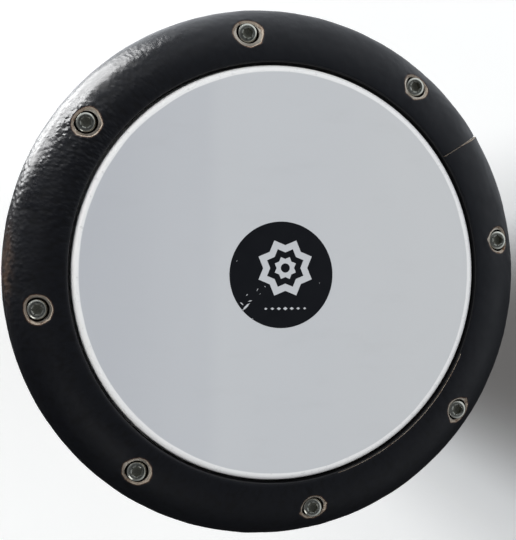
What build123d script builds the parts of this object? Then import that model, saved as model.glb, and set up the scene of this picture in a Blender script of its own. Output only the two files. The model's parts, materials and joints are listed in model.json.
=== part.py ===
"""Goblet drum with a wide leather-covered tuning ring.

Millimetres, +Z up. The origin is the centre of the foot's underside, and the
drum's axis is the Z axis. Round pieces are drawn as a section in the XZ plane,
where X is the radius, and turned about Z.
"""

import os
from math import asin, cos, degrees, radians, sin, sqrt, tan

from build123d import *

# ---- driving dimensions -------------------------------------------------
HEIGHT = 430.0               # foot to playing surface
HEAD_RADIUS = 108.5          # outside of the film's collar
PRINT_RADIUS = 27.8          # round print in the middle of the head
PRINT_THICKNESS = 0.1
PRINT_OFFSET = (-0.4, -1.0)  # it was printed a little off centre

WALL = 3.2                   # cast wall of the goblet
FOOT_RADIUS = 109.0
FOOT_RIM_HEIGHT = 9.0
FOOT_RIM_ROUND = 3.5
NECK_RADIUS = 57.0
NECK_BOTTOM = 175.0
NECK_TOP = 205.0
FOOT_CURVE = 330.0           # radius of the bell's curve under the neck
FOOT_LEAN = radians(24.0)    # slope of the bell below that curve
BOWL_CURVE = 45.0            # radius of the curve above the neck
BOWL_LEAN = radians(55.0)    # slope where that curve meets the belly
BOWL_RADIUS = 106.9          # outside of the bowl, up to the bearing edge

LIP_CENTRE_RADIUS = 113.4    # ring and flange share one round outline
LIP_CENTRE_DROP = 28.0       # its centre, below the playing surface
LIP_RADIUS = 29.0
LEATHER = 1.2

RING_INNER_RADIUS = 110.0
RING_POCKET_RADIUS = 115.2   # room for the head's hoop
RING_SHOULDER_DROP = 12.0    # the ring presses on the hoop here
RING_BOTTOM_DROP = 36.0
RING_WALL = 4.5
RING_LIP_ROUND = 0.5
RING_EDGE_ROUND = 1.2
BOSS_HALF_WIDTH = 9.2        # solid metal left each side of a bolt
TUNING_GAP = 5.0             # between ring and flange
FLANGE_ROOT_ROUND = 8.0
FLANGE_EDGE_ROUND = 1.5
FLANGE_UNDERSIDE = -70.0     # degrees, where the outline turns to the bowl

BOLTS = 8                    # M6 x 40 socket caps
BOLT_CIRCLE = 125.9
BOLT_PHASE = 8.07            # degrees from +X to the first bolt
BOLT_HEAD_DROP = 3.0         # head top below the playing surface
BOLT_RADIUS = 3.0
BOLT_LENGTH = 40.0
BOLT_HEAD_RADIUS = 5.0
BOLT_HEAD_HEIGHT = 6.0
BOLT_HEAD_ROUND = 0.7
BOLT_TIP_CHAMFER = 0.8
SOCKET_ACROSS_FLATS = 5.0
SOCKET_DEPTH = 3.0
SOCKET_TURN = 23.0           # degrees from one bolt's socket to the next
WASHER_RADIUS = 5.5
WASHER_HOLE_RADIUS = 3.3
WASHER_THICKNESS = 1.6
COUNTERBORE_RADIUS = 6.05
RING_HOLE_RADIUS = 3.4

LEATHER_HOLE_RADIUS = 7.6
SEAM_ANGLE = 33.0            # degrees from +X to the leather's butt seam
SEAM_WIDTH = 0.8

INSERT_RADIUS = 4.5
INSERT_LENGTH = 10.0
INSERT_BORE_RADIUS = 3.05    # the thread is a plain bore, 0.05 clear
DRAIN_RADIUS = 3.6

FILM = 0.3
BEARING_RADIUS = 105.3       # the film turns down outside this radius
COLLAR_DROP = 9.0            # the collar is straight down to here
COLLAR_FLARE_DROP = 14.0     # and has flared into the hoop by here
COLLAR_END_DROP = 19.2
COLLAR_HOOP_RADIUS = 110.6   # the film's outside within the hoop

HOOP_INNER_RADIUS = 107.9
HOOP_OUTER_RADIUS = 114.6
HOOP_WALL = 1.0
HOOP_HEIGHT = 10.0
HOOP_INNER_HEIGHT = 7.0      # the inner wall is lower, for the film to pass
RESIN_HEIGHT = 5.5
RESIN_CLEARANCE = 0.35       # around the film's edge

# ---- heights and places worked out from them ----------------------------
LIP_CENTRE_Z = HEIGHT - LIP_CENTRE_DROP
RING_ARC = LIP_RADIUS - LEATHER
RING_BOTTOM = HEIGHT - RING_BOTTOM_DROP
RING_SHOULDER = HEIGHT - RING_SHOULDER_DROP
FLANGE_TOP = RING_BOTTOM - TUNING_GAP
BEARING_EDGE = HEIGHT - FILM
BOLT_HEAD_SEAT = HEIGHT - BOLT_HEAD_DROP - BOLT_HEAD_HEIGHT
COUNTERBORE_FLOOR = BOLT_HEAD_SEAT - WASHER_THICKNESS
HOOP_BOTTOM = RING_SHOULDER - HOOP_HEIGHT
BOLT_ANGLES = [BOLT_PHASE + 360 / BOLTS * i for i in range(BOLTS)]


def polar(centre, radius, angle):
    """The point at a radius and an angle in radians from a centre."""
    return (centre[0] + radius * cos(angle), centre[1] + radius * sin(angle))


def arc(centre, radius, start, end):
    """Draws an arc about a centre between two angles in radians."""
    ThreePointArc(
        polar(centre, radius, start),
        polar(centre, radius, (start + end) / 2),
        polar(centre, radius, end),
    )


LIP_CENTRE = (LIP_CENTRE_RADIUS, LIP_CENTRE_Z)


def lip_top_angle(radius, r):
    """The angle at which a circle about the lip's centre passes radius r, above."""
    return radians(90) + asin((LIP_CENTRE_RADIUS - r) / radius)


def lip_side_angle(radius, z):
    """The angle at which a circle about the lip's centre passes height z, outside."""
    return asin((z - LIP_CENTRE_Z) / radius)


def round_corners(sketch, radius, *corners):
    """Fillets the sketch's corners nearest to the points given as (r, z)."""
    for r, z in corners:
        spot = Vector(r, z, 0)
        nearest = min(sketch.vertices(), key=lambda v: (Vector(v) - spot).length)
        fillet(nearest, radius)


def finish(builder, name):
    """Labels a finished piece and writes its file."""
    builder.part.label = name
    export_step(builder.part, f"parts/{name}.step")


os.makedirs("parts", exist_ok=True)

# ---- the goblet: foot bell, neck, bowl, flange and bearing edge ----------
HALF_TURN = radians(180)
FOOT_CENTRE = (NECK_RADIUS + FOOT_CURVE, NECK_BOTTOM)
BOWL_CENTRE = (NECK_RADIUS + BOWL_CURVE, NECK_TOP)
BELLY_START = polar(BOWL_CENTRE, BOWL_CURVE, HALF_TURN - BOWL_LEAN)
BELLY_RADIUS = (BOWL_RADIUS - BELLY_START[0]) / (1 - cos(BOWL_LEAN))
BELLY_CENTRE = (
    BOWL_RADIUS - BELLY_RADIUS,
    BELLY_START[1] + BELLY_RADIUS * sin(BOWL_LEAN),
)


def bell_radius(z, inset):
    """The foot bell's radius at a height on its straight slope."""
    start = polar(FOOT_CENTRE, FOOT_CURVE + inset, HALF_TURN + FOOT_LEAN)
    return start[0] + (start[1] - z) * tan(FOOT_LEAN)


def goblet_line(inset, foot_z, top_z):
    """Draws the goblet's wall from the foot up, inset from its outer surface."""
    bell_end = polar(FOOT_CENTRE, FOOT_CURVE + inset, HALF_TURN + FOOT_LEAN)
    Line((bell_radius(foot_z, inset), foot_z), bell_end)
    arc(FOOT_CENTRE, FOOT_CURVE + inset, HALF_TURN + FOOT_LEAN, HALF_TURN)
    Line((NECK_RADIUS - inset, NECK_BOTTOM), (NECK_RADIUS - inset, NECK_TOP))
    arc(BOWL_CENTRE, BOWL_CURVE + inset, HALF_TURN, HALF_TURN - BOWL_LEAN)
    arc(BELLY_CENTRE, BELLY_RADIUS - inset, -BOWL_LEAN, 0)
    Line((BOWL_RADIUS - inset, BELLY_CENTRE[1]), (BOWL_RADIUS - inset, top_z))


flange_start = radians(FLANGE_UNDERSIDE)
flange_end = lip_side_angle(LIP_RADIUS, FLANGE_TOP)
flange_low = polar(LIP_CENTRE, LIP_RADIUS, flange_start)
flange_edge = polar(LIP_CENTRE, LIP_RADIUS, flange_end)
flange_root = flange_low[1] + (flange_low[0] - BOWL_RADIUS) / tan(flange_start)
edge_round = BOWL_RADIUS - BEARING_RADIUS
bearing_inner = BOWL_RADIUS - WALL

with BuildPart() as shell:
    with BuildSketch(Plane.XZ) as shell_section:
        with BuildLine():
            goblet_line(0, FOOT_RIM_HEIGHT, flange_root)
            Line((BOWL_RADIUS, flange_root), flange_low)
            arc(LIP_CENTRE, LIP_RADIUS, flange_start, flange_end)
            Polyline(
                flange_edge,
                (BOWL_RADIUS, FLANGE_TOP),
                (BOWL_RADIUS, BEARING_EDGE - edge_round),
            )
            arc((BEARING_RADIUS, BEARING_EDGE - edge_round), edge_round, HALF_TURN / 2, 0)
            Polyline(
                (BEARING_RADIUS, BEARING_EDGE),
                (bearing_inner + edge_round / 2, BEARING_EDGE),
                (bearing_inner, BEARING_EDGE - edge_round / 2),
            )
            goblet_line(WALL, 0, BEARING_EDGE - edge_round / 2)
            Polyline(
                (bell_radius(0, WALL), 0),
                (FOOT_RADIUS, 0),
                (FOOT_RADIUS, FOOT_RIM_HEIGHT),
                (bell_radius(FOOT_RIM_HEIGHT, 0), FOOT_RIM_HEIGHT),
            )
        make_face()
        round_corners(
            shell_section.sketch_local,
            FOOT_RIM_ROUND,
            (FOOT_RADIUS, 0),
            (FOOT_RADIUS, FOOT_RIM_HEIGHT),
        )
        round_corners(shell_section.sketch_local, FLANGE_EDGE_ROUND, flange_edge)
        round_corners(
            shell_section.sketch_local, FLANGE_ROOT_ROUND, (BOWL_RADIUS, flange_root)
        )
    revolve(axis=Axis.Z)
    with BuildSketch(Plane.XY.offset(FLANGE_TOP)):
        with PolarLocations(BOLT_CIRCLE, BOLTS, BOLT_PHASE):
            Circle(INSERT_RADIUS)
    extrude(amount=-INSERT_LENGTH, mode=Mode.SUBTRACT)
    with BuildSketch(Plane.XY.offset(FLANGE_TOP)):
        with PolarLocations(BOLT_CIRCLE, BOLTS, BOLT_PHASE):
            Circle(DRAIN_RADIUS)
    extrude(amount=-2 * INSERT_LENGTH, mode=Mode.SUBTRACT)
finish(shell, "shell")

# ---- threaded inserts pressed into the flange ---------------------------
with BuildPart() as inserts:
    with BuildSketch(Plane.XY.offset(FLANGE_TOP)):
        with PolarLocations(BOLT_CIRCLE, BOLTS, BOLT_PHASE):
            Circle(INSERT_RADIUS)
            Circle(INSERT_BORE_RADIUS, mode=Mode.SUBTRACT)
    extrude(amount=-INSERT_LENGTH)
finish(inserts, "threaded_inserts")

# ---- the head: film, print, hoop and resin ------------------------------
shoulder_z = HEIGHT - HEAD_RADIUS + BEARING_RADIUS
collar_z = HEIGHT - COLLAR_DROP
flare_z = HEIGHT - COLLAR_FLARE_DROP
collar_end_z = HEIGHT - COLLAR_END_DROP


def film_line(inset):
    """Draws one face of the film from the middle out and down the collar."""
    shoulder_radius = HEAD_RADIUS - BEARING_RADIUS - inset
    Line((0, HEIGHT - inset), (BEARING_RADIUS, HEIGHT - inset))
    arc((BEARING_RADIUS, shoulder_z), shoulder_radius, HALF_TURN / 2, 0)
    Polyline(
        (HEAD_RADIUS - inset, shoulder_z),
        (HEAD_RADIUS - inset, collar_z),
        (COLLAR_HOOP_RADIUS - inset, flare_z),
        (COLLAR_HOOP_RADIUS - inset, collar_end_z),
    )


with BuildPart() as head_film:
    with BuildSketch(Plane.XZ):
        with BuildLine():
            film_line(0)
            film_line(FILM)
            Line((0, HEIGHT), (0, HEIGHT - FILM))
            Line(
                (COLLAR_HOOP_RADIUS, collar_end_z),
                (COLLAR_HOOP_RADIUS - FILM, collar_end_z),
            )
        make_face()
    revolve(axis=Axis.Z)
finish(head_film, "head_film")

with BuildPart() as centre_print:
    with BuildSketch(Plane.XY.offset(HEIGHT)):
        with Locations(PRINT_OFFSET):
            Circle(PRINT_RADIUS)
    extrude(amount=PRINT_THICKNESS)
finish(centre_print, "centre_print")

with BuildPart() as hoop:
    with BuildSketch(Plane.XZ):
        with BuildLine():
            Polyline(
                (HOOP_INNER_RADIUS, HOOP_BOTTOM),
                (HOOP_OUTER_RADIUS, HOOP_BOTTOM),
                (HOOP_OUTER_RADIUS, HOOP_BOTTOM + HOOP_HEIGHT),
                (HOOP_OUTER_RADIUS - HOOP_WALL, HOOP_BOTTOM + HOOP_HEIGHT),
                (HOOP_OUTER_RADIUS - HOOP_WALL, HOOP_BOTTOM + HOOP_WALL),
                (HOOP_INNER_RADIUS + HOOP_WALL, HOOP_BOTTOM + HOOP_WALL),
                (HOOP_INNER_RADIUS + HOOP_WALL, HOOP_BOTTOM + HOOP_INNER_HEIGHT),
                (HOOP_INNER_RADIUS, HOOP_BOTTOM + HOOP_INNER_HEIGHT),
                close=True,
            )
        make_face()
    revolve(axis=Axis.Z)
finish(hoop, "head_hoop")

resin_floor = HOOP_BOTTOM + HOOP_WALL
groove_inner = COLLAR_HOOP_RADIUS - FILM - RESIN_CLEARANCE
groove_outer = COLLAR_HOOP_RADIUS + RESIN_CLEARANCE
with BuildPart() as resin:
    with BuildSketch(Plane.XY.offset(resin_floor)):
        Circle(HOOP_OUTER_RADIUS - HOOP_WALL)
        Circle(HOOP_INNER_RADIUS + HOOP_WALL, mode=Mode.SUBTRACT)
    extrude(amount=RESIN_HEIGHT)
    with BuildSketch(Plane.XY.offset(collar_end_z - RESIN_CLEARANCE)):
        Circle(groove_outer)
        Circle(groove_inner, mode=Mode.SUBTRACT)
    extrude(amount=RESIN_HEIGHT, mode=Mode.SUBTRACT)
finish(resin, "hoop_resin")

# ---- the tuning ring: a casting hollowed from below, with eight bosses ----
ring_top_angle = lip_top_angle(RING_ARC, RING_INNER_RADIUS)
ring_side_angle = lip_side_angle(RING_ARC, RING_BOTTOM)
ring_lip = polar(LIP_CENTRE, RING_ARC, ring_top_angle)
ring_edge = polar(LIP_CENTRE, RING_ARC, ring_side_angle)
core_radius = RING_ARC - RING_WALL
core_inner = RING_POCKET_RADIUS + RING_WALL
core_top_angle = radians(90) - asin((core_inner - LIP_CENTRE_RADIUS) / core_radius)
core_side_angle = lip_side_angle(core_radius, RING_BOTTOM)
boss_angle = degrees(asin(BOSS_HALF_WIDTH / BOLT_CIRCLE))

with BuildPart() as core:
    with BuildSketch(Plane.XZ):
        with BuildLine():
            arc(LIP_CENTRE, core_radius, core_side_angle, core_top_angle)
            Polyline(
                polar(LIP_CENTRE, core_radius, core_top_angle),
                (core_inner, RING_BOTTOM),
                polar(LIP_CENTRE, core_radius, core_side_angle),
            )
        make_face()
    revolve(axis=Axis.Z, revolution_arc=360 / BOLTS - 2 * boss_angle)

with BuildPart() as ring:
    with BuildSketch(Plane.XZ) as ring_section:
        with BuildLine():
            arc(LIP_CENTRE, RING_ARC, ring_side_angle, ring_top_angle)
            Polyline(
                ring_lip,
                (RING_INNER_RADIUS, RING_SHOULDER),
                (RING_POCKET_RADIUS, RING_SHOULDER),
                (RING_POCKET_RADIUS, RING_BOTTOM),
                ring_edge,
            )
        make_face()
        round_corners(ring_section.sketch_local, RING_LIP_ROUND, ring_lip)
        round_corners(ring_section.sketch_local, RING_EDGE_ROUND, ring_edge)
    revolve(axis=Axis.Z)
    with PolarLocations(0, BOLTS, BOLT_PHASE + boss_angle):
        add(core.part, mode=Mode.SUBTRACT)
    with BuildSketch(Plane.XY.offset(COUNTERBORE_FLOOR)):
        with PolarLocations(BOLT_CIRCLE, BOLTS, BOLT_PHASE):
            Circle(COUNTERBORE_RADIUS)
    extrude(amount=HEIGHT - COUNTERBORE_FLOOR, mode=Mode.SUBTRACT)
    with BuildSketch(Plane.XY.offset(RING_BOTTOM)):
        with PolarLocations(BOLT_CIRCLE, BOLTS, BOLT_PHASE):
            Circle(RING_HOLE_RADIUS)
    extrude(amount=HEIGHT - RING_BOTTOM, mode=Mode.SUBTRACT)
finish(ring, "tuning_ring")

# ---- the leather: a strip round the ring, open at its butt seam -----------
leather_start = lip_side_angle(RING_ARC, RING_BOTTOM + RING_EDGE_ROUND)
leather_end = lip_top_angle(RING_ARC, RING_INNER_RADIUS + RING_LIP_ROUND)
with BuildPart() as leather:
    with BuildSketch(Plane.XZ):
        with BuildLine():
            arc(LIP_CENTRE, RING_ARC, leather_start, leather_end)
            arc(LIP_CENTRE, LIP_RADIUS, leather_start, leather_end)
            for angle in (leather_start, leather_end):
                Line(
                    polar(LIP_CENTRE, RING_ARC, angle),
                    polar(LIP_CENTRE, LIP_RADIUS, angle),
                )
        make_face()
    revolve(axis=Axis.Z)
    with BuildSketch(Plane.XY.offset(COUNTERBORE_FLOOR)):
        with PolarLocations(BOLT_CIRCLE, BOLTS, BOLT_PHASE):
            Circle(LEATHER_HOLE_RADIUS)
    extrude(amount=2 * BOLT_HEAD_RADIUS, mode=Mode.SUBTRACT)
    with BuildSketch(Plane.XY.offset(RING_BOTTOM)):
        with PolarLocations(LIP_CENTRE_RADIUS + LIP_RADIUS / 2, 1, SEAM_ANGLE):
            Rectangle(2 * LIP_RADIUS, SEAM_WIDTH)
    extrude(amount=2 * RING_BOTTOM_DROP, mode=Mode.SUBTRACT)
finish(leather, "ring_leather")

# ---- washers under the bolt heads ---------------------------------------
with BuildPart() as washers:
    with BuildSketch(Plane.XY.offset(COUNTERBORE_FLOOR)):
        with PolarLocations(BOLT_CIRCLE, BOLTS, BOLT_PHASE):
            Circle(WASHER_RADIUS)
            Circle(WASHER_HOLE_RADIUS, mode=Mode.SUBTRACT)
    extrude(amount=WASHER_THICKNESS)
finish(washers, "bolt_washers")

# ---- eight tuning bolts, each a piece of its own ------------------------
for i in range(BOLTS):
    turn = radians(BOLT_ANGLES[i])
    socket = radians(SOCKET_TURN * i)
    seat = Plane(
        origin=(BOLT_CIRCLE * cos(turn), BOLT_CIRCLE * sin(turn), BOLT_HEAD_SEAT),
        x_dir=(cos(socket), sin(socket), 0),
        z_dir=(0, 0, 1),
    )
    with BuildPart() as bolt:
        with BuildSketch(seat):
            Circle(BOLT_HEAD_RADIUS)
        extrude(amount=BOLT_HEAD_HEIGHT)
        fillet(bolt.edges().group_by(Axis.Z)[-1], BOLT_HEAD_ROUND)
        with BuildSketch(seat):
            Circle(BOLT_RADIUS)
        extrude(amount=-BOLT_LENGTH)
        chamfer(bolt.edges().group_by(Axis.Z)[0], BOLT_TIP_CHAMFER)
        with BuildSketch(seat.offset(BOLT_HEAD_HEIGHT)):
            RegularPolygon(SOCKET_ACROSS_FLATS / 2, 6, major_radius=False)
        extrude(amount=-SOCKET_DEPTH, mode=Mode.SUBTRACT)
    finish(bolt, f"tuning_bolt_{i + 1}")
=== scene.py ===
"""Looks of the goblet drum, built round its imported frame. Metres, +Z up."""
import json
import math
from math import asin, cos, pi, radians, sin, sqrt

import bmesh
import bpy
from mathutils import Matrix, Quaternion, Vector, noise


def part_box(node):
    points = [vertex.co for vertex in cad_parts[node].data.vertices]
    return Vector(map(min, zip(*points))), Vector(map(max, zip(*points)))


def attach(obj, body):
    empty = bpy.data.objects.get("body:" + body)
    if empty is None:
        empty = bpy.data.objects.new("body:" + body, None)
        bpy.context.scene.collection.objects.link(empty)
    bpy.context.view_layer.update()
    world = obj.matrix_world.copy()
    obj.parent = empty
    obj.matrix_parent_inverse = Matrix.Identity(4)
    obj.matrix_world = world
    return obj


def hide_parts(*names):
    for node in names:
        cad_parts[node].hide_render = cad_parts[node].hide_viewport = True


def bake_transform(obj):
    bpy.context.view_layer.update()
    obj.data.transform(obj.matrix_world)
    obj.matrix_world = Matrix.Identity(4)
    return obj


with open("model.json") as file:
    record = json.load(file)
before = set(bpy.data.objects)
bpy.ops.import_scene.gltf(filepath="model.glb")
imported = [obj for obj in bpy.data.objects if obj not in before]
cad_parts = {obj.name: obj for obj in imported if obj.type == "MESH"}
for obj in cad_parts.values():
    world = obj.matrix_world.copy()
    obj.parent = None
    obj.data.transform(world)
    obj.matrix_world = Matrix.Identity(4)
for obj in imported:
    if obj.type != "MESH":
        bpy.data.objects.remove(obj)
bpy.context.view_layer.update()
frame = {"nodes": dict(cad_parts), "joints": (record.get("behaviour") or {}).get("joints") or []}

MM = 0.001

# ---- sizes taken from the frame, and the few that it doesn't state ----------
leather_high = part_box("ring_leather")[1]
film_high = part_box("head_film")[1]
HEAD_Z = film_high[2]
HEAD_RADIUS = 108.5 * MM
BEARING_RADIUS = 105.3 * MM          # the film turns down outside this radius
LAND_RADIUS = 104.8 * MM             # and lies on the bearing edge from here
print_low, print_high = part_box("centre_print")
PRINT_RADIUS = (print_high[0] - print_low[0]) / 2
PRINT_CENTRE = (print_low + print_high) / 2

LIP_RADIUS = 29 * MM                 # the leather's outline, seen in section
LEATHER = 1.2 * MM
RING_ARC = LIP_RADIUS - LEATHER
LIP_R = leather_high[0] - LIP_RADIUS
LIP_Z = leather_high[2] - LIP_RADIUS
RING_INNER = 110 * MM
RING_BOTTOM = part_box("tuning_ring")[0][2]
SEAM = radians(33)

BOLTS = [j for j in frame["joints"] if j["name"].startswith("tuning_bolt")]
BOLT_CIRCLE = math.hypot(*BOLTS[0]["pos_m"][:2])
SOCKET_TURN = radians(23)            # from one bolt's socket to the next


# ---- meshes ----------------------------------------------------------------
def new_object(name, mesh, materials, smooth=True):
    """Adds a mesh to the scene with its materials."""
    for material in materials:
        mesh.materials.append(material)
    if smooth:
        mesh.shade_smooth()
    obj = bpy.data.objects.new(name, mesh)
    bpy.context.scene.collection.objects.link(obj)
    return obj


def clean(mesh, distance):
    """Joins vertices nearer than the distance and turns every face outward."""
    bm = bmesh.new()
    bm.from_mesh(mesh)
    bmesh.ops.remove_doubles(bm, verts=bm.verts, dist=distance)
    bmesh.ops.recalc_face_normals(bm, faces=bm.faces)
    bm.to_mesh(mesh)
    bm.free()


def mesh_from(name, vertices, faces, layers=()):
    """A closed mesh of these faces, with any layers of a value to each vertex."""
    mesh = bpy.data.meshes.new(name)
    mesh.from_pydata([tuple(v) for v in vertices], [], faces)
    for layer, values in dict(layers).items():
        attribute = mesh.attributes.new(layer, "FLOAT", "POINT")
        attribute.data.foreach_set("value", values)
    clean(mesh, 1e-6)
    return mesh


def sharpen(obj, degrees):
    """Keeps edges turning more than this many degrees crisp."""
    mesh = obj.data
    bm = bmesh.new()
    bm.from_mesh(mesh)
    limit = radians(degrees)
    for edge in bm.edges:
        edge.smooth = len(edge.link_faces) == 2 and edge.calc_face_angle(0) < limit
    bm.to_mesh(mesh)
    bm.free()


def lathe(name, outline, steps):
    """Turns a closed outline of (r, z) about Z."""
    vertices, faces, count = [], [], len(outline)
    for i in range(steps):
        turn = 2 * pi * i / steps
        vertices += [(r * cos(turn), r * sin(turn), z) for r, z in outline]
    for i in range(steps):
        a, b = i * count, (i + 1) % steps * count
        for k in range(count):
            n = (k + 1) % count
            if outline[k][0] < 1e-9 and outline[n][0] < 1e-9:
                continue    # the axis itself
            faces.append((a + k, a + n, b + n, b + k))
    return mesh_from(name, vertices, faces)


def arc(centre, radius, start, end, steps):
    """Points on an arc in section, both ends included; angles in radians."""
    turns = [start + (end - start) * i / steps for i in range(steps + 1)]
    return [(centre[0] + radius * cos(t), centre[1] + radius * sin(t)) for t in turns]


# ---- materials --------------------------------------------------------------
MIX_COLOUR_SOCKETS = (0, 6, 7)       # a colour Mix node's factor and two colours
MIX_FLOAT_SOCKETS = (0, 2, 3)        # and a float one's


class Surface:
    """A Principled material, with short ways to add the nodes that drive it."""

    def __init__(self, name, colour, roughness, metallic=0.0, **sockets):
        self.material = bpy.data.materials.new(name)
        self.material.use_nodes = True
        self.tree = self.material.node_tree
        self.shader = self.tree.nodes["Principled BSDF"]
        self.set("Base Color", (*colour, 1))
        self.set("Roughness", roughness)
        self.set("Metallic", metallic)
        for socket, value in sockets.items():
            self.set(socket.replace("_", " "), value)
        self.material.diffuse_color = (*colour, 1)

    def set(self, socket, value):
        self.shader.inputs[socket].default_value = value

    def drive(self, socket, output):
        self.tree.links.new(output, self.shader.inputs[socket])

    def node(self, kind, inputs=(), **settings):
        """Adds a node; inputs maps a socket's name or number to a value or output."""
        node = self.tree.nodes.new("ShaderNode" + kind)
        for key, value in settings.items():
            setattr(node, key, value)
        for key, value in dict(inputs).items():
            if isinstance(value, bpy.types.NodeSocket):
                self.tree.links.new(value, node.inputs[key])
            else:
                node.inputs[key].default_value = value
        return node

    def place(self):
        """Where a point lies in the piece's own coordinates."""
        return self.node("TexCoord").outputs["Object"]

    def strip(self):
        """Where a point lies on the leather strip, in metres along and across."""
        return self.node("UVMap", uv_map="strip").outputs["UV"]

    def scaled(self, vector, x, y, z):
        inputs = {"Vector": vector, "Scale": (x, y, z)}
        return self.node("Mapping", inputs).outputs["Vector"]

    def noise(self, vector, scale, detail=3.0, roughness=0.5, distortion=0.0):
        inputs = {"Vector": vector, "Scale": scale, "Detail": detail}
        inputs |= {"Roughness": roughness, "Distortion": distortion}
        return self.node("TexNoise", inputs).outputs["Fac"]

    def cells(self, vector, scale):
        """Rounded cells, such as pebbles or hammer marks."""
        inputs = {"Vector": vector, "Scale": scale}
        return self.node("TexVoronoi", inputs, feature="SMOOTH_F1").outputs["Distance"]

    def math(self, operation, a, b):
        return self.node("Math", {0: a, 1: b}, operation=operation).outputs["Value"]

    def span(self, value, low, high, to_low=0.0, to_high=1.0):
        """Maps low..high to a smooth step."""
        inputs = {"Value": value, "From Min": low, "From Max": high}
        inputs |= {"To Min": to_low, "To Max": to_high}
        node = self.node("MapRange", inputs, interpolation_type="SMOOTHSTEP")
        return node.outputs["Result"]

    def blend(self, factor, a, b):
        """Mixes two colours; the factor is an output, and so may either colour be."""
        node = self.node("Mix", data_type="RGBA")
        for socket, value in zip(MIX_COLOUR_SOCKETS, (factor, a, b)):
            if isinstance(value, bpy.types.NodeSocket):
                self.tree.links.new(value, node.inputs[socket])
            else:
                node.inputs[socket].default_value = (*value, 1)
        return node.outputs[2]

    def radius(self):
        """Distance from the drum's axis."""
        flat = self.scaled(self.place(), 1, 1, 0)
        return self.node("VectorMath", {0: flat}, operation="LENGTH").outputs["Value"]

    def axis(self, vector, name):
        return self.node("SeparateXYZ", {0: vector}).outputs[name]

    def bump(self, height, depth, strength=1.0, normal=None):
        """Adds relief depth metres deep, over an earlier normal if there is one."""
        inputs = {"Height": height, "Distance": depth, "Strength": strength}
        if normal is not None:
            inputs["Normal"] = normal
        return self.node("Bump", inputs).outputs["Normal"]


def leather_surface():
    """Black pebbled leather, creased across the strip, rubbed brown on its outer side; painted
    shade darkens its grain's valleys, painted light lifts its +X+Y side, and a painted brown
    reflection lies on its outer side towards -X.
    """
    s = Surface("leather_black", (0.005, 0.005, 0.006), 0.5, Specular_IOR_Level=0.25)
    strip = s.strip()
    stretched = s.scaled(strip, 1.0, 0.62, 1.0)
    wander = s.node("TexNoise", {"Vector": strip, "Scale": 260, "Detail": 2})
    warp = s.node(
        "VectorMath",
        {0: wander.outputs["Color"], 1: (0.0012, 0.0012, 0)},
        operation="MULTIPLY",
    )
    bent = s.node("VectorMath", {0: stretched, 1: warp.outputs[0]}, operation="ADD")
    pebble = s.cells(bent.outputs[0], 560)
    crease = s.noise(s.scaled(strip, 1.0, 0.40, 1.0), 420, 2, 0.5, 0.8)
    fine = s.noise(strip, 2600, 2)
    patch = s.span(s.noise(strip, 26, 2), 0.38, 0.66, 0.25, 1.0)
    grained = s.node("Attribute", attribute_name="grain").outputs["Fac"]
    patch = s.math("MULTIPLY", patch, grained)
    normal = s.bump(s.math("MULTIPLY", crease, patch), 0.50 * MM, 0.6)
    relief = s.math("MULTIPLY", s.math("SUBTRACT", 1.0, pebble), patch)
    normal = s.bump(relief, 0.85 * MM, 0.9, normal)
    s.drive("Normal", s.bump(fine, 0.03 * MM, 0.5, normal))
    blotch = s.span(s.noise(strip, 60, 4, 0.6), 0.3, 0.7, -0.05, 0.05)
    polish = s.node("Attribute", attribute_name="polish").outputs["Fac"]
    dull = s.span(polish, 0.0, 1.0, 0.52, 0.29)
    s.drive("Roughness", s.math("ADD", dull, blotch))
    # Painted shade: the grain's valleys are coloured darker.
    painted_valley_shade = s.span(pebble, 0.35, 0.75)
    colour = s.blend(painted_valley_shade, (0.0030, 0.0034, 0.0052), (0.0018, 0.0019, 0.0028))
    # Painted light: the side facing +X+Y is coloured lighter.
    painted_light_side = s.node("VectorMath", {0: s.place(), 1: (0.77, 0.64, 0)}, operation="DOT_PRODUCT")
    painted_light_side = s.span(painted_light_side.outputs["Value"], -0.02, 0.12)
    colour = s.blend(painted_light_side, colour, (0.0062, 0.0070, 0.0094))
    # Partly real wear, partly painted reflection: the outer side is rubbed brown, and a brown
    # reflection is painted on it towards -X.
    wear_and_painted_reflection = s.span(s.node("Attribute", attribute_name="wear_and_reflection").outputs["Fac"], 0.05, 0.9)
    wear_and_painted_reflection = s.math("MULTIPLY", wear_and_painted_reflection, s.span(s.noise(strip, 210, 4, 0.7), 0.32, 0.62))
    colour = s.blend(wear_and_painted_reflection, colour, (0.042, 0.025, 0.017))
    edge = s.node("Attribute", attribute_name="edge").outputs["Fac"]
    frayed = s.math("ADD", edge, s.math("MULTIPLY", s.noise(strip, 1400, 3), -0.9))
    frayed = s.span(frayed, 0.10, -0.25)
    s.drive("Base Color", s.blend(frayed, colour, (0.070, 0.040, 0.026)))
    return s.material


def raw_edge_surface():
    """The leather's cut edge: pale fibres with brown dirt."""
    s = Surface("leather_raw_edge", (0.34, 0.27, 0.21), 0.85)
    place = s.place()
    fibre = s.noise(place, 1500, 4, 0.7)
    dirt = s.noise(place, 330, 3, 0.6)
    pale = s.blend(fibre, (0.20, 0.165, 0.13), (0.50, 0.43, 0.35))
    s.drive("Base Color", s.blend(s.span(dirt, 0.50, 0.70), pale, (0.15, 0.080, 0.045)))
    s.drive("Normal", s.bump(fibre, 0.25 * MM, 0.9))
    return s.material


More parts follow.
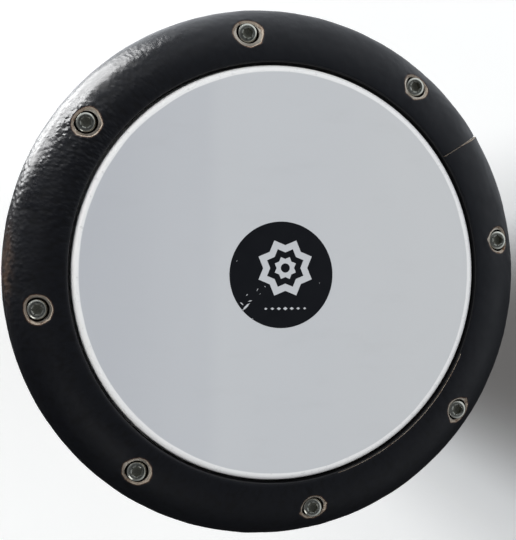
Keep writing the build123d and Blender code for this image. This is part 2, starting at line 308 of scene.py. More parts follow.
def film_surface():
    """Satin polyester: pale blue-grey over air, and white where it lies on metal.
    Painted shade makes the open film a little dimmer towards -X, with a faint step, and a touch
    lighter towards +X.
    """
    s = Surface("head_satin_film", (0.60, 0.62, 0.65), 0.42, Specular_IOR_Level=0.45)
    place = s.place()
    radius = s.radius()
    uneven = s.noise(place, 45, 3)
    edge = s.math("ADD", radius, s.math("MULTIPLY", uneven, 0.0011))
    land = s.span(edge, LAND_RADIUS + 0.15 * MM, LAND_RADIUS + 0.85 * MM)
    cloud = s.noise(s.scaled(place, 1.0, 0.35, 1.0), 9, 3, 0.55)
    open_film = s.blend(cloud, (0.575, 0.590, 0.620), (0.640, 0.655, 0.675))
    speck = s.noise(place, 900, 3, 0.7)
    open_film = s.blend(s.math("MULTIPLY", speck, 0.12), open_film, (0.74, 0.76, 0.77))
    smear = s.span(s.noise(s.scaled(place, 1.0, 2.6, 1.0), 26, 5, 0.62), 0.52, 0.80)
    open_film = s.blend(s.math("MULTIPLY", smear, 0.16), open_film, (0.50, 0.51, 0.52))
    scuff = s.span(s.noise(place, 420, 2), 0.60, 0.78)
    on_metal = s.blend(scuff, (0.90, 0.90, 0.895), (0.74, 0.74, 0.74))
    # Painted shade and light: the open film darker towards -X with a faint step, lighter towards
    # +X.
    side = s.axis(place, "X")
    dim, dimmer = (0.950, 0.952, 0.957), (0.875, 0.880, 0.895)
    painted_shading = s.blend(s.span(side, -105 * MM, -45 * MM), dimmer, dim)
    painted_shading = s.blend(s.span(side, -43 * MM, -30 * MM), painted_shading, (1.0, 1.0, 0.995))
    painted_shading = s.blend(s.span(side, 0.0, 75 * MM), painted_shading, (1.035, 1.03, 1.01))
    film_with_painted_shading = s.node("VectorMath", {0: open_film, 1: painted_shading}, operation="MULTIPLY")
    s.drive("Base Color", s.blend(land, film_with_painted_shading.outputs[0], on_metal))
    s.drive("Roughness", s.span(s.noise(place, 30, 4, 0.6), 0.3, 0.7, 0.33, 0.46))
    s.drive("Normal", s.bump(s.noise(place, 2600, 2, 0.6), 0.02 * MM, 0.35))
    return s.material


def ink_surface():
    """The black print: matt ink, rubbed thin in small flecks."""
    s = Surface("print_ink", (0.007, 0.009, 0.011), 0.55, Specular_IOR_Level=0.2)
    place = s.place()
    rub = s.span(s.noise(place, 700, 4, 0.75), 0.66, 0.80)
    s.drive("Base Color", s.blend(rub, (0.0045, 0.0052, 0.0075), (0.026, 0.028, 0.032)))
    s.drive("Roughness", s.span(s.noise(place, 160, 3), 0.3, 0.7, 0.45, 0.60))
    return s.material


def casting_surface():
    """Cast aluminium, bare and grimy, with black paint on the wall round the head, and painted
    shade darkening the deep walls and floors of its bolt holes.
    """
    s = Surface("cast_aluminium", (0.52, 0.52, 0.50), 0.42, metallic=1.0)
    place = s.place()
    grain = s.noise(place, 900, 4, 0.7)
    grime = s.span(s.noise(place, 130, 4, 0.6), 0.45, 0.72)
    colour = s.blend(grain, (0.36, 0.32, 0.27), (0.60, 0.55, 0.47))
    colour = s.blend(grime, colour, (0.20, 0.155, 0.115))
    # Painted shade: the deep walls and floors of the bolt holes are coloured near-black brown.
    upright = s.axis(s.node("NewGeometry").outputs["True Normal"], "Z")
    deep = s.math("ADD", s.axis(place, "Z"), s.math("MULTIPLY", grain, 0.8 * MM))
    deep = s.span(deep, LIP_Z + 23.6 * MM, LIP_Z + 22.0 * MM)
    down = s.math("MULTIPLY", deep, s.math("LESS_THAN", upright, 0.5))
    floor_of_hole = s.math("LESS_THAN", s.axis(place, "Z"), LIP_Z + 18 * MM)
    down = s.math("MAXIMUM", down, s.math("MULTIPLY", floor_of_hole, 0.8))
    colour = s.blend(down, colour, (0.022, 0.018, 0.014))
    limit = s.math("ADD", s.radius(), s.math("MULTIPLY", grain, 0.4 * MM))
    painted = s.math("LESS_THAN", limit, RING_INNER + 1.0 * MM)
    s.drive("Base Color", s.blend(painted, colour, (0.006, 0.006, 0.007)))
    s.drive("Metallic", s.math("SUBTRACT", 1.0, painted))
    s.drive("Roughness", s.span(grain, 0.2, 0.8, 0.34, 0.58))
    s.drive("Normal", s.bump(grain, 0.12 * MM, 0.6))
    return s.material


def shell_surface():
    """Hammered black enamel outside, bare sand-cast aluminium inside."""
    s = Surface("hammered_enamel", (0.012, 0.012, 0.013), 0.3)
    place = s.place()
    outward = s.node("VectorMath", {0: s.scaled(place, 1, 1, 0)}, operation="NORMALIZE")
    normal = s.node("NewGeometry").outputs["True Normal"]
    facing = s.node(
        "VectorMath", {0: outward.outputs[0], 1: normal}, operation="DOT_PRODUCT"
    ).outputs["Value"]
    up = s.axis(normal, "Z")
    height = s.axis(place, "Z")
    inside = s.span(facing, -0.02, -0.20)
    near_ring = s.math("GREATER_THAN", height, LIP_Z - 30 * MM)
    flange_top = s.math("MULTIPLY", s.math("GREATER_THAN", up, 0.8), near_ring)
    collar = s.math("GREATER_THAN", height, RING_BOTTOM - 4.6 * MM)
    bare = s.math("MAXIMUM", inside, s.math("MAXIMUM", flange_top, collar))
    dimple = s.cells(place, 260)
    sand = s.noise(place, 1100, 4, 0.7)
    enamel = s.blend(s.span(dimple, 0.2, 0.8), (0.022, 0.022, 0.024), (0.007, 0.007, 0.008))
    metal = s.blend(sand, (0.34, 0.34, 0.33), (0.60, 0.60, 0.58))
    s.drive("Base Color", s.blend(bare, enamel, metal))
    s.drive("Metallic", bare)
    rough_paint = s.span(s.noise(place, 90, 3), 0.3, 0.7, 0.20, 0.34)
    rough = s.node("Mix", dict(zip(MIX_FLOAT_SOCKETS, (bare, rough_paint, 0.55))))
    s.drive("Roughness", rough.outputs[0])
    hammered = s.bump(s.math("SUBTRACT", 1.0, dimple), 0.5 * MM, 0.7)
    s.drive("Normal", s.bump(s.math("MULTIPLY", sand, bare), 0.35 * MM, 0.8, hammered))
    return s.material


SCRATCH_LENGTH = 1.2 * MM


def steel_surface(name, dark, light, roughness):
    """Plated steel with fine turning marks, dulled by handling."""
    s = Surface(name, light, roughness, metallic=1.0)
    place = s.place()
    turned = s.noise(s.scaled(place, 1, 1, 6), 1 / SCRATCH_LENGTH, 3, 0.6)
    tarnish = s.noise(place, 240, 4, 0.65)
    colour = s.blend(s.span(tarnish, 0.35, 0.68), light, dark)
    grime = s.node("Attribute", attribute_name="grime").outputs["Fac"]
    ragged = s.math("ADD", grime, s.math("MULTIPLY", s.noise(place, 900, 3), 0.5))
    colour = s.blend(s.span(ragged, 0.45, 1.0), colour, (0.24, 0.24, 0.20))
    colour = s.blend(s.span(grime, -0.3, -0.9), colour, (0.48, 0.48, 0.43))
    s.drive("Base Color", colour)
    rough = s.span(turned, 0.3, 0.7, roughness - 0.08, roughness + 0.12)
    s.drive("Roughness", s.math("MULTIPLY", rough, s.span(grime, -0.3, -0.9, 1.0, 0.6)))
    s.drive("Normal", s.bump(turned, 0.03 * MM, 0.5))
    return s.material


def resin_surface():
    """Amber epoxy, swirled as it was poured."""
    s = Surface("amber_resin", (0.36, 0.22, 0.08), 0.25)
    place = s.place()
    swirl = s.noise(place, 140, 4, 0.6, 1.0)
    s.drive("Base Color", s.blend(swirl, (0.24, 0.14, 0.05), (0.45, 0.30, 0.13)))
    s.drive("Normal", s.bump(swirl, 0.2 * MM, 0.5))
    return s.material


# The floor's painted shadow lies this way.
SHADE_WAY = radians(-13)             # the side of the drum away from the window


def floor_surface():
    """A white sheet: its emission paints sunlight on it, and its colour paints the drum's shadow
    on the far side.
    """
    s = Surface("pale_floor", (0.88, 0.88, 0.87), 0.9)
    place = s.place()
    cloth = s.noise(place, 6, 4, 0.5)
    sheet = s.blend(cloth, (0.86, 0.86, 0.85), (0.92, 0.92, 0.91))
    away = (cos(SHADE_WAY), sin(SHADE_WAY), 0)
    along = s.node("VectorMath", {0: place, 1: away}, operation="DOT_PRODUCT")
    flat = s.node("VectorMath", {0: place}, operation="LENGTH").outputs["Value"]
    facing = s.math("DIVIDE", along.outputs["Value"], flat)
    # Painted light: the floor glows where sunlight would fall on it.
    painted_sunlight = s.span(facing, 0.97, 0.80, 0.0, 0.27)
    # Painted shadow: the floor is coloured grey on the drum's far side.
    painted_shadow = s.math("MULTIPLY", s.span(facing, 0.925, 1.0), s.span(flat, 0.08, 0.26))
    s.drive("Base Color", s.blend(painted_shadow, sheet, (0.20, 0.19, 0.18)))
    s.set("Emission Color", (1.0, 1.0, 0.99, 1))
    s.drive("Emission Strength", painted_sunlight)
    return s.material


# ---- the ring's leather cover ------------------------------------------------
LEATHER_IN = pi / 2 + asin((LIP_R - RING_INNER - 0.5 * MM) / RING_ARC)
LEATHER_OUT = asin((RING_BOTTOM + 1.2 * MM - LIP_Z) / RING_ARC)
HOLE_RADII = [7.3, 7.4, 7.9, 7.8, 7.5, 7.6, 7.0, 7.2]    # mm, each cut by hand
CUT_SLOPE = 0.75 * MM                # how far a cut edge slopes in below its top
ALONG, ACROSS = 72, 44               # divisions of each bolt's part of the strip
FACE_RINGS, BACK_RINGS = 36, 8       # and from its hole to its border,
CROWDING = 1.5                       # closer together near the hole
SEAM_START_GAP = 0.25 * MM           # how far the strip's first end stands off the seam
BACK_LIFT = 0.02 * MM                # and its back off the bare metal
RAW_LIP = (radians(286), radians(336))   # where the lip shows its pale cut edge
# Corners torn past each hole's round edge: direction in degrees, and length in mm.
HOLE_CORNERS = [
    [(176, 0.9)],
    [(208, 0.8), (250, 0.5)],
    [(318, 0.6), (182, 0.3), (20, 0.4)],
    [(232, 0.3), (350, 0.3)],
    [(320, 0.2)],
    [(150, 0.4), (318, 0.5)],
    [(18, 0.5), (206, 0.6)],
    [(48, 0.8), (240, 0.6)],
]


def ease(value, low, high):
    """A smooth step from 0 at low to 1 at high."""
    share = max(0.0, min(1.0, (value - low) / (high - low)))
    return share * share * (3 - 2 * share)


def around(azimuth, degrees):
    """The turn from a direction in degrees to the azimuth, from -pi to pi."""
    return (azimuth - radians(degrees) + pi) % (2 * pi) - pi


def lip_point(azimuth, angle, lift):
    """A point over the ring's rounded outline, lift above its bare metal."""
    r = LIP_R + (RING_ARC + lift) * cos(angle)
    z = LIP_Z + (RING_ARC + lift) * sin(angle)
    return Vector((r * cos(azimuth), r * sin(azimuth), z))


def hole_reach(index, azimuth, along, out):
    """How far bolt hole index reaches, in the direction (along, out) from it."""
    plan = azimuth + math.atan2(along, out)
    wobble = Vector((cos(plan) * 1.3, sin(plan) * 1.3, index * 7.3))
    reach = HOLE_RADII[index] * MM * (1 + 0.05 * (out / math.hypot(along, out)) ** 2)
    reach += 0.30 * MM * noise.noise(wobble) + 0.25 * MM * noise.noise(wobble * 2.9)
    for direction, length in HOLE_CORNERS[index]:
        off = around(plan, direction)
        reach += length * MM * math.exp(-((off / 0.15) ** 2))
    return reach


def seam_offset(angle, back):
    """How far the strip's last end stands off the seam, on its face or its back."""
    share = (LEATHER_IN - angle) / (LEATHER_IN - LEATHER_OUT)
    opening = max(0.0, min(1.0, (share - 0.18) / 0.22))
    return (0.10 + 0.10 * opening) * MM if back else (0.12 + 0.7 * opening) * MM


def seam_lean(angle):
    """How far round the seam has leaned by this angle: its inner end lies past SEAM."""
    share = (angle - LEATHER_OUT) / (LEATHER_IN - LEATHER_OUT)
    return radians(2.0) * max(0.0, share - 0.15)


def leather_lift(azimuth, angle, to_hole, to_seam):
    """Height of the leather's face over the bare metal, with its soft unevenness."""
    at = lip_point(azimuth, angle, 0)
    lift = LEATHER + 0.16 * MM * noise.noise(at * 95) + 0.10 * MM * noise.noise(at * 260)
    pucker = 0.4 + noise.noise(at * 300)
    lift += 0.28 * MM * math.exp(-((to_hole / (2.2 * MM)) ** 2)) * pucker
    lift -= 0.22 * MM * math.exp(-((to_hole / (0.5 * MM)) ** 2))
    if to_seam <= 0:
        lift += 0.55 * MM * math.exp(to_seam / (5 * MM))
    else:
        lift -= 0.30 * MM * math.exp(-to_seam / (3 * MM))
    for end in (LEATHER_IN, LEATHER_OUT):
        lift -= 0.35 * MM * math.exp(-abs(end - angle) * LIP_RADIUS / (0.6 * MM))
    return lift


def polish_at(azimuth, angle):
    """How far hands have polished the leather: its outer side, at the upper left."""
    outer = 1 - ease(angle, radians(54), radians(74))
    return outer * math.exp(-((around(azimuth, 136) / 0.68) ** 4))


def grain_at(azimuth):
    """How far the grain stands up: strong by -X, and nearly pressed flat elsewhere."""
    return 0.12 + 0.88 * math.exp(-((around(azimuth, 158) / 0.52) ** 2))


def wear_and_reflection_at(azimuth, angle):
    """Where the leather is rubbed on its outer side, and where a brown reflection is painted on
    it, most of all towards -X.
    """
    outer = math.exp(-(((angle - radians(20)) / 0.28) ** 2))
    return outer * (0.10 + 0.95 * math.exp(-((around(azimuth, 178) / 0.12) ** 2)))


def sector_border(start, end, index):
    """The border of one bolt's part of the strip: (azimuth, angle, kind of edge)."""
    drop = LEATHER_OUT - LEATHER_IN
    border = []
    for i in range(ALONG):
        border.append((start + (end - start) * i / ALONG, LEATHER_IN, "inner"))
    for i in range(ACROSS):
        edge = "seam" if index == 0 else ""
        border.append((end, LEATHER_IN + drop * i / ACROSS, edge))
    for i in range(ALONG):
        border.append((end + (start - end) * i / ALONG, LEATHER_OUT, "outer"))
    for i in range(ACROSS):
        edge = "seam" if index == 1 else ""
        border.append((start, LEATHER_OUT - drop * i / ACROSS, edge))
    return border


def leather_sector(index, start, end):
    """The strip round one bolt: (vertices, faces with a material, attributes).

    Rays run from the hole's rough edge to the sector's border, once for the
    leather's face and once for its back, and the cut edges join the two.
    """
    x, y = BOLTS[index]["pos_m"][:2]
    middle = math.atan2(y, x) % (2 * pi)
    while middle < start:
        middle += 2 * pi
    bolt_angle = math.acos((BOLT_CIRCLE - LIP_R) / LIP_RADIUS)
    border = sector_border(start, end, index)
    seam = SEAM + (2 * pi if index == 0 else 0)
    vertices, strip, faces = [], [], []
    layers = {"wear_and_reflection": [], "polish": [], "grain": [], "edge": []}
    rows = []
    for back, rings in ((False, FACE_RINGS), (True, BACK_RINGS)):
        rows.append((len(vertices), rings + 1))
        for azimuth, angle, _ in border:
            if index == 0:
                azimuth += seam_lean(angle) * (azimuth - start) / (end - start)
            if index == 1:
                azimuth += seam_lean(angle) * (end - azimuth) / (end - start)
            if index == 0 and abs(azimuth - end - seam_lean(angle)) < 1e-9:
                azimuth -= seam_offset(angle, back) / BOLT_CIRCLE
            if index == 1 and abs(azimuth - start - seam_lean(angle)) < 1e-9:
                azimuth += SEAM_START_GAP / BOLT_CIRCLE
            along = (azimuth - middle) * BOLT_CIRCLE
            out = (bolt_angle - angle) * LIP_RADIUS
            length = math.hypot(along, out)
            reach = hole_reach(index, middle, along, out) - CUT_SLOPE * back
            for ring in range(rings + 1):
                distance = reach + (length - reach) * (ring / rings) ** CROWDING
                a = middle + along / length * distance / BOLT_CIRCLE
                b = bolt_angle - out / length * distance / LIP_RADIUS
                to_seam = (a - seam - seam_lean(b)) * BOLT_CIRCLE
                lift = leather_lift(a, b, distance - reach, to_seam)
                vertices.append(lip_point(a, b, BACK_LIFT if back else lift))
                strip.append((a * BOLT_CIRCLE, (LEATHER_IN - b) * LIP_RADIUS))
                layers["wear_and_reflection"].append(wear_and_reflection_at(a, b))
                layers["polish"].append(polish_at(a, b))
                layers["grain"].append(grain_at(a))
                to_cut = min(distance - reach, abs(to_seam) + 0.3 * MM)
                layers["edge"].append(to_cut / MM)
    (face, face_row), (rear, rear_row) = rows
    for k in range(len(border)):
        n = (k + 1) % len(border)
        a, b = face + k * face_row, face + n * face_row
        c, d = rear + k * rear_row, rear + n * rear_row
        faces += [((a + i, b + i, b + i + 1, a + i + 1), 0) for i in range(FACE_RINGS)]
        faces += [((c + i, c + i + 1, d + i + 1, d + i), 0) for i in range(BACK_RINGS)]
        faces.append(((a, c, d, b), 1))
        azimuth, _, edge = border[k]
        if edge:
            i, j = FACE_RINGS, BACK_RINGS
            pale = edge == "seam" or edge == "inner" and RAW_LIP[0] < azimuth < RAW_LIP[1]
            faces.append(((a + i, b + i, d + j, c + j), int(pale)))
    return vertices, faces, strip, layers


def ring_leather():
    """The whole strip, from its first end at the seam round to its last."""
    step = 2 * pi / len(BOLTS)
    first = math.atan2(BOLTS[1]["pos_m"][1], BOLTS[1]["pos_m"][0])
    borders = [SEAM] + [first + step * (i + 0.5) for i in range(len(BOLTS) - 1)]
    borders.append(SEAM + 2 * pi)
    vertices, faces, strip = [], [], []
    layers = {"wear_and_reflection": [], "polish": [], "grain": [], "edge": []}
    for i in range(len(BOLTS)):
        part = leather_sector((i + 1) % len(BOLTS), borders[i], borders[i + 1])
        base = len(vertices)
        vertices += part[0]
        faces += [(tuple(base + v for v in face), kind) for face, kind in part[1]]
        strip += part[2]
        for name, values in part[3].items():
            layers[name] += values
    mesh = bpy.data.meshes.new("leather_cover")
    mesh.from_pydata([tuple(v) for v in vertices], [], [face for face, _ in faces])
    uv = mesh.uv_layers.new(name="strip")
    corners = [strip[loop.vertex_index] for loop in mesh.loops]
    uv.data.foreach_set("uv", [value for pair in corners for value in pair])
    for name, values in layers.items():
        layer = mesh.attributes.new(name, "FLOAT", "POINT")
        layer.data.foreach_set("value", values)
    mesh.polygons.foreach_set("material_index", [kind for _, kind in faces])
    clean(mesh, 2e-6)
    cover = new_object("leather_cover", mesh, [leather_surface(), raw_edge_surface()])
    sharpen(cover, 38)
    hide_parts("ring_leather")
    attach(cover, "ring")


# ---- the head ----------------------------------------------------------------
def head_film():
    """The film: flat, turned down over the bearing edge, flared into the hoop."""
    thick = 0.3 * MM
    shoulder = HEAD_RADIUS - BEARING_RADIUS      # radius of the turned edge
    hoop_r = film_high[0]
    centre = (BEARING_RADIUS, HEAD_Z - shoulder)

    def face(inset):
        points = [(BEARING_RADIUS * i / 40, HEAD_Z - inset) for i in range(40)]
        points += arc(centre, shoulder - inset, pi / 2, 0, 12)
        points += [(HEAD_RADIUS - inset, HEAD_Z - (3.5 + i) * MM) for i in range(6)]
        for i in range(6):
            r = HEAD_RADIUS - inset + (hoop_r - HEAD_RADIUS) * ease(i, 0, 5)
            points.append((r, HEAD_Z - (9.2 + i) * MM))
        points += [(hoop_r - inset, HEAD_Z - (15 + i) * MM) for i in range(5)]
        return points

    mesh = lathe("film", face(0) + face(thick)[::-1], 360)
    film = new_object("satin_film", mesh, [film_surface()])
    sharpen(film, 40)
    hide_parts("head_film")
    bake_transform(film)


def star(points, outer, inner, turn, centre):
    """A star's corners, its points and the notches between them."""
    corners = []
    for i in range(2 * points):
        a = turn + pi * i / points
        r = inner if i % 2 else outer
        corners.append((centre[0] + r * cos(a), centre[1] + r * sin(a)))
    return corners


def circle(radius, steps, centre=(0, 0)):
    turns = [2 * pi * i / steps for i in range(steps)]
    return [(centre[0] + radius * cos(t), centre[1] + radius * sin(t)) for t in turns]


# Flakes out of the print: place (x, y) and length and width in mm, slant in degrees.
FLAKES = [
    (-18.9, -16.3, 5.6, 0.95, 43),
    (-21.2, -14.9, 2.6, 0.60, -38),
    (-16.9, -13.4, 2.4, 0.55, 12),
    (-20.7, -18.0, 1.2, 0.60, 40),
    (-18.6, -10.3, 1.3, 0.45, 55),
    (-13.0, -7.6, 1.6, 0.35, 62),
    (-8.9, -6.0, 1.1, 0.30, -40),
    (-11.6, -9.8, 0.9, 0.25, 40),
    (-23.9, 7.3, 1.2, 0.22, 62),
    (-15.6, -22.6, 1.0, 0.30, -30),
    (20.6, -4.4, 0.8, 0.22, 80),
]


def flakes():
    """Slivers where the ink has come off, low on the left of the print."""
    slivers = []
    for x, y, length, width, slant in FLAKES:
        a = radians(slant)
        along, across = Vector((cos(a), sin(a))), Vector((-sin(a), cos(a)))
        outline = []
        for i in range(10):
            turn = 2 * pi * i / 10
            rough = 1 + 0.55 * noise.noise(Vector((x + 3 * cos(turn), y + 3 * sin(turn), 0.5)))
            reach = along * (length / 2 * cos(turn)) + across * (width / 2 * sin(turn))
            outline.append((Vector((x, y)) + reach * rough) * MM)
        slivers.append(outline)
    return slivers


def centre_print():
    """A round print with a plain eight-pointed star left clear, and a row of dots."""
    curve = bpy.data.curves.new("print", "CURVE")
    curve.dimensions = "2D"
    curve.fill_mode = "BOTH"
    curve.extrude = 0.03 * MM
    middle = (2.0 * MM, 3.6 * MM)
    notch = cos(pi / 4) / cos(pi / 8)
    outlines = [circle(PRINT_RADIUS, 240)]
    for radius in (15.6 * MM, 10.6 * MM, 6.2 * MM):
        outlines.append(star(8, radius, radius * notch, pi / 8, middle))
    outlines.append(circle(2.4 * MM, 48, middle))
    for i in range(-3, 4):
        size = (1.30 - 0.13 * abs(i)) * MM
        dot = (middle[0] + i * 3.5 * MM, -17.6 * MM)
        outlines.append(star(2, size, size * 0.7, 0, dot))
    outlines += flakes()
    for outline in outlines:
        spline = curve.splines.new("POLY")
        spline.points.add(len(outline) - 1)
        for point, (x, y) in zip(spline.points, outline):
            point.co = (x, y, 0, 1)
        spline.use_cyclic_u = True
    shape = bpy.data.objects.new("print_outline", curve)
    mesh = bpy.data.meshes.new_from_object(shape)
    bpy.data.objects.remove(shape)
    mesh.transform(Matrix.Translation((*PRINT_CENTRE[:2], HEAD_Z + 0.03 * MM)))
    mesh.materials.clear()
    clean(mesh, 1e-6)
    ink = new_object("star_print", mesh, [ink_surface()], smooth=False)
    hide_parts("centre_print")
    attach(ink, "shell")


# ---- the bolts -----------------------------------------------------------------
BOLT_HEAD_R, BOLT_HEAD_HIGH = 5 * MM, 6 * MM
BOLT_EDGE, BOLT_CHAMFER = 0.35 * MM, 0.75 * MM   # its rounding, and the cone inside it
SHANK_R, SHANK_LONG, THREAD_LONG = 3 * MM, 40 * MM, 24 * MM
PITCH, THREAD_DEPTH, ROWS_PER_PITCH = 1 * MM, 0.54 * MM, 6
SOCKET_FLATS, SOCKET_DEEP = 5 * MM, 3 * MM
BOLT_SIDES = 72                      # two to each tooth of the knurl


def bolt_column(i):
    """One of the bolt's sides, from its tip up, over its head and into its socket.

    Z is 0 at the seat under the head.
    """
    turn = 2 * pi * i / BOLT_SIDES
    plain = SHANK_LONG - THREAD_LONG
    column = [(0, -SHANK_LONG)]
    rows = int(THREAD_LONG / PITCH) * ROWS_PER_PITCH
    for row in range(rows, -1, -1):
        down = row / ROWS_PER_PITCH
        phase = (down + i / BOLT_SIDES) % 1
        groove = max(0.0, 1 - abs(phase - 0.5) / 0.42)
        tip = max(0.0, down * PITCH - THREAD_LONG + 0.8 * MM)
        r = SHANK_R - max(THREAD_DEPTH * groove * min(1.0, down), tip)
        column.append((r, -plain - down * PITCH))
    column += [(SHANK_R, -plain / 2), (SHANK_R, 0), (BOLT_HEAD_R - 0.3 * MM, 0)]
    tooth = 0.16 * MM * (i % 2)
    slope = radians(62)
    drop = BOLT_CHAMFER / math.tan(slope)
    centre = (BOLT_HEAD_R - BOLT_EDGE, BOLT_HEAD_HIGH - BOLT_EDGE - drop)
    side = [(BOLT_HEAD_R, 0.3 * MM), (BOLT_HEAD_R, 2.6 * MM)]
    side += arc(centre, BOLT_EDGE, 0, slope, 5)
    foot, high = side[-1]
    rise = BOLT_HEAD_HIGH - high - 0.04 * MM
    side.append((foot - rise * math.tan(slope), BOLT_HEAD_HIGH - 0.04 * MM))
    side.append((side[-1][0] - 0.35 * MM, BOLT_HEAD_HIGH))
    for k, (r, z) in enumerate(side):
        column.append((r - tooth * max(0.0, 1 - max(0, k - 1) / 4), z))
    flat = (turn + pi / 6) % (pi / 3) - pi / 6
    hexagon = SOCKET_FLATS / 2 / cos(flat)
    column.append((SOCKET_FLATS / sqrt(3) + 0.12 * MM, BOLT_HEAD_HIGH))
    column.append((hexagon, BOLT_HEAD_HIGH - 0.25 * MM))
    column.append((hexagon, BOLT_HEAD_HIGH - SOCKET_DEEP))
    column.append((hexagon * 0.6, BOLT_HEAD_HIGH - SOCKET_DEEP - 0.25 * MM))
    column.append((0, BOLT_HEAD_HIGH - SOCKET_DEEP - 0.3 * MM))
    return [(r * cos(turn), r * sin(turn), z) for r, z in column]


def bolts():
    """M6 x 40 socket caps with knurled heads and cut threads."""
    columns = [bolt_column(i) for i in range(BOLT_SIDES)]
    count = len(columns[0])
    vertices = [point for column in columns for point in column]
    faces = []
    for i in range(BOLT_SIDES):
        a, b = i * count, (i + 1) % BOLT_SIDES * count
        faces += [(a + k, b + k, b + k + 1, a + k + 1) for k in range(count - 1)]
    # bare on the chamfer (-1), grimy in the socket (1)
    top_grime = [-0.7, -1.0, -1.0, 0.0, 0.0, 0.5, 0.9, 1.0, 1.0]
    column_grime = [0.0] * (count - len(top_grime)) + top_grime
    grime = {"grime": column_grime * BOLT_SIDES}
    steel = steel_surface("bolt_steel", (0.16, 0.165, 0.145), (0.36, 0.365, 0.33), 0.30)
    for i, joint in enumerate(BOLTS):
        node = joint["child"]
        x, y = joint["pos_m"][:2]
        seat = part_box(node)[1][2] - BOLT_HEAD_HIGH
        mesh = mesh_from("bolt", vertices, faces, grime)
        place = Matrix.Translation((x, y, seat))
        mesh.transform(place @ Matrix.Rotation(SOCKET_TURN * i, 4, "Z"))
        bolt = new_object(f"socket_bolt_{i + 1}", mesh, [steel])
        sharpen(bolt, 32)
        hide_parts(node)
        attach(bolt, node)


# ---- finishes of the parts carried over from the frame -------------------------
def finish_cad_parts():
    """Gives each remaining CAD node its material."""
    washers = steel_surface("washer_steel", (0.02, 0.018, 0.015), (0.07, 0.07, 0.06), 0.45)
    hoop = steel_surface("hoop_aluminium", (0.40, 0.40, 0.40), (0.72, 0.72, 0.71), 0.32)
    brass = steel_surface("insert_brass", (0.30, 0.20, 0.08), (0.72, 0.54, 0.24), 0.30)
    finishes = {
        "shell": shell_surface(),
        "tuning_ring": casting_surface(),
        "bolt_washers": washers,
        "head_hoop": hoop,
        "hoop_resin": resin_surface(),
        "threaded_inserts": brass,
    }
    for name, material in finishes.items():
        mesh = frame["nodes"][name].data
        mesh.materials.clear()
        mesh.materials.append(material)


# ---- floor, light and camera ----------------------------------------------------
FLOOR_REACH = 6.0                    # metres from the drum's axis to its edges


def floor():
    mesh = bpy.data.meshes.new("floor")
    ways = [(-1, -1), (1, -1), (1, 1), (-1, 1)]
    corners = [(x * FLOOR_REACH, y * FLOOR_REACH, 0) for x, y in ways]
    mesh.from_pydata(corners, [], [(0, 1, 2, 3)])
    plane = new_object("floor", mesh, [floor_surface()], smooth=False)
    plane.visible_glossy = False


def area_light(name, azimuth, elevation, distance, size, power, colour=(1, 1, 1)):
    """A soft light aimed at the head; size is (width, height) in metres."""
    data = bpy.data.lights.new(name, "AREA")
    data.shape = "RECTANGLE"
    data.size, data.size_y = size
    data.energy = power
    data.color = colour
    light = bpy.data.objects.new(name, data)
    bpy.context.scene.collection.objects.link(light)
    a, e = radians(azimuth), radians(elevation)
    out = Vector((cos(a) * cos(e), sin(a) * cos(e), sin(e)))
    light.location = Vector((0, 0, HEAD_Z)) + out * distance
    light.rotation_mode = "QUATERNION"
    light.rotation_quaternion = (-out).to_track_quat("-Z", "Y")
    light.visible_camera = False
    return light


def lights():
    """A window on the left, its bright patch on the floor, and two dim lamps."""
    shining_up = Vector((0, 0, 1)).to_track_quat("-Z", "Y")
    patch = area_light("floor_patch", 0, 0, 1, (1.85, 0.75), 32)
    patch.data.shape = "ELLIPSE"
    patch.location = (-0.90, 0.98, 0.012)
    patch.rotation_quaternion = Quaternion((0, 0, 1), radians(127)) @ shining_up
    sill = area_light("window_sill", 128, 0, 1.6, (1.0, 0.25), 20)
    sill.location.z = 0.14
    window = area_light("window", 156, 34, 3.0, (2.4, 1.8), 53, (1.0, 0.985, 0.96))
    window.visible_glossy = False
    bounce = area_light("wall_bounce", 25, 58, 1.8, (1.3, 1.1), 5)
    bounce.visible_glossy = False
    area_light("far_window", 238, 36, 1.6, (0.6, 0.5), 2.0)


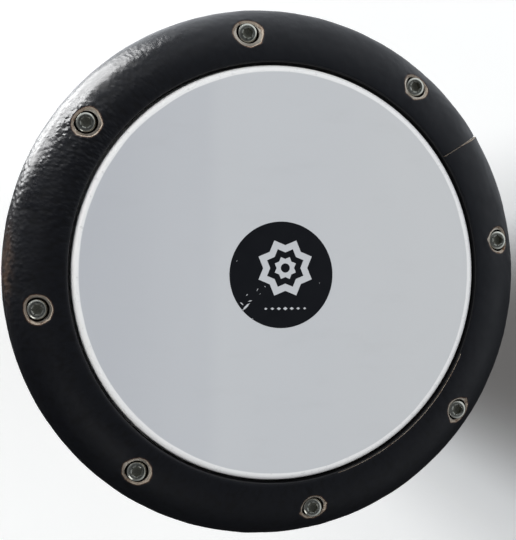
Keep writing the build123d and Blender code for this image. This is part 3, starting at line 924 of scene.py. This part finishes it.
def room():
    """The world: bright walls, a dim ceiling, and below them the floor's glow."""
    world = bpy.data.worlds.new("room")
    bpy.context.scene.world = world
    world.use_nodes = True
    nodes, links = world.node_tree.nodes, world.node_tree.links
    direction = nodes.new("ShaderNodeTexCoord").outputs["Generated"]

    def vector_math(operation, vector, by=(0, 0, 0)):
        node = nodes.new("ShaderNodeVectorMath")
        node.operation = operation
        links.new(vector, node.inputs[0])
        node.inputs[1].default_value = by
        return node.outputs

    def ramp(vector, aim, low, high, to_low, to_high):
        """Brightness by how far a direction points the way of aim."""
        along = vector_math("DOT_PRODUCT", vector, aim)["Value"]
        level = nodes.new("ShaderNodeMapRange")
        links.new(along, level.inputs["Value"])
        ends = (low, high, to_low, to_high)
        for socket, value in zip(("From Min", "From Max", "To Min", "To Max"), ends):
            level.inputs[socket].default_value = value
        return level.outputs["Result"]

    def combine(operation, a, b):
        node = nodes.new("ShaderNodeMath")
        node.operation = operation
        links.new(a, node.inputs[0])
        links.new(b, node.inputs[1])
        return node.outputs["Value"]

    def heading(degrees):
        return (cos(radians(degrees)), sin(radians(degrees)), 0)

    up = (0, 0, 1)
    flat = vector_math("MULTIPLY", direction, (1, 1, 0))[0]
    compass = vector_math("NORMALIZE", flat)[0]
    under_ceiling = ramp(direction, up, 0.62, 0.90, 1, 0)
    over_floor = ramp(direction, up, 0.0, 0.12, 0, 1)
    walls = combine("MULTIPLY", under_ceiling, over_floor)
    lit_wall = ramp(direction, heading(45), -0.6, 1, 0.10, 1.20)
    walls = combine("MULTIPLY", walls, lit_wall)
    lit_floor = ramp(compass, heading(78), 0.24, 0.50, 0.03, 1.35)
    below = combine("MULTIPLY", ramp(direction, up, 0.05, -0.05, 0, 1), lit_floor)
    above = ramp(direction, up, -0.05, 0.05, 0, 0.12)
    level = combine("ADD", combine("ADD", walls, below), above)
    background = nodes["Background"]
    background.inputs["Color"].default_value = (0.91, 0.95, 1.0, 1)
    links.new(level, background.inputs["Strength"])


def camera():
    """Looks down on the head from half a metre, tilted a little towards -X."""
    tilt, azimuth = radians(13.65), radians(177.0)
    back = Vector((sin(tilt) * cos(azimuth), sin(tilt) * sin(azimuth), cos(tilt)))
    right = Vector((0, 1, 0)).cross(back).normalized()
    up = back.cross(right)
    # where the lens sees the head's middle: to its right, above it and behind it
    head_seen_at = Vector((12.7, -1.55, -500.1)) * MM
    place = Vector((0, 0, HEAD_Z))
    place -= right * head_seen_at[0] + up * head_seen_at[1] + back * head_seen_at[2]
    data = bpy.data.cameras.new("camera")
    data.lens, data.sensor_width = 63.9, 36
    data.clip_start, data.clip_end = 0.01, 50
    obj = bpy.data.objects.new("camera", data)
    bpy.context.scene.collection.objects.link(obj)
    turn = Matrix((right, up, back)).transposed().to_4x4()
    obj.matrix_world = Matrix.Translation(place) @ turn
    bpy.context.scene.camera = obj


ring_leather()
head_film()
centre_print()
bolts()
finish_cad_parts()
floor()
lights()
room()
camera()
bpy.context.scene.view_settings.view_transform = "Standard"
